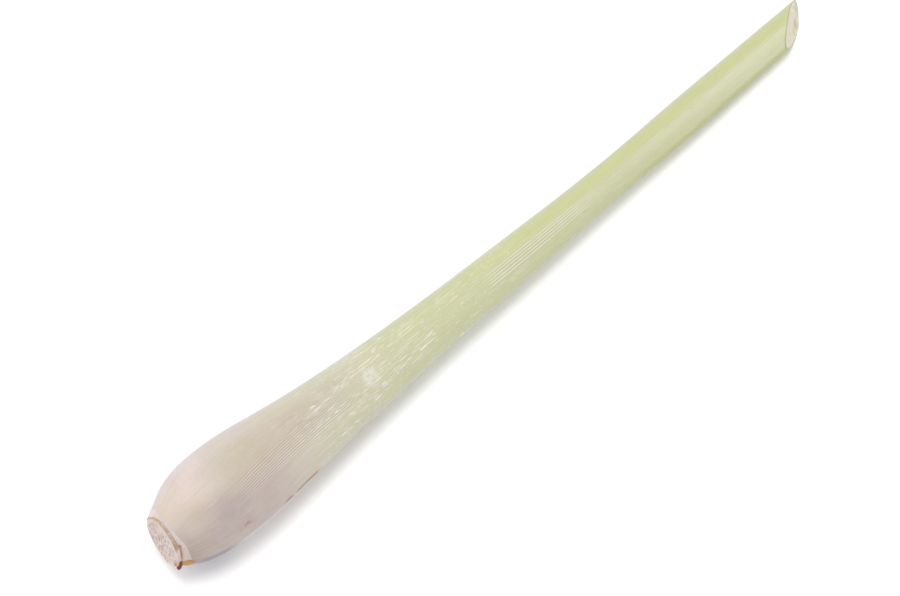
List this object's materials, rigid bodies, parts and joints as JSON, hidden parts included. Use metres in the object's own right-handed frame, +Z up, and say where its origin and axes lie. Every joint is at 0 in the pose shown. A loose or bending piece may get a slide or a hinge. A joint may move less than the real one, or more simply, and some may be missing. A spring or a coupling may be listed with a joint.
{
  "type": "lemongrass stalk",
  "caption": "Fresh lemongrass stalk, trimmed at the root and cut on a slant at the leaf end: rolled sheaths round a tight heart, lying on its side.",
  "frame": {"origin": "middle of the stalk's footprint, on the surface it lies on", "axes": "+X along the stalk from the root cut to the leaf cut, +Y across it to the side of the leaf cut's point, +Z up"},
  "size_m": [0.2168, 0.023, 0.0218],
  "materials": {
    "sheath": "satin, waxy fresh plant skin, cream pink at the bulb and yellow green above",
    "inner_sheath": "satin, moist pale green",
    "heart": "matt, pale cream",
    "stem": "matt, cut fibrous pink cream",
    "stub": "satin, pared white",
    "husk": "matt, dried orange brown"
  },
  "bodies": {
    "root": {"outer_sheath": "sheath", "second_sheath": "inner_sheath", "third_sheath": "inner_sheath", "heart_leaf": "heart", "basal_stem": "stem", "peeled_sheath_stub": "stub", "husk_sliver": "husk"}
  },
  "joints": []
}
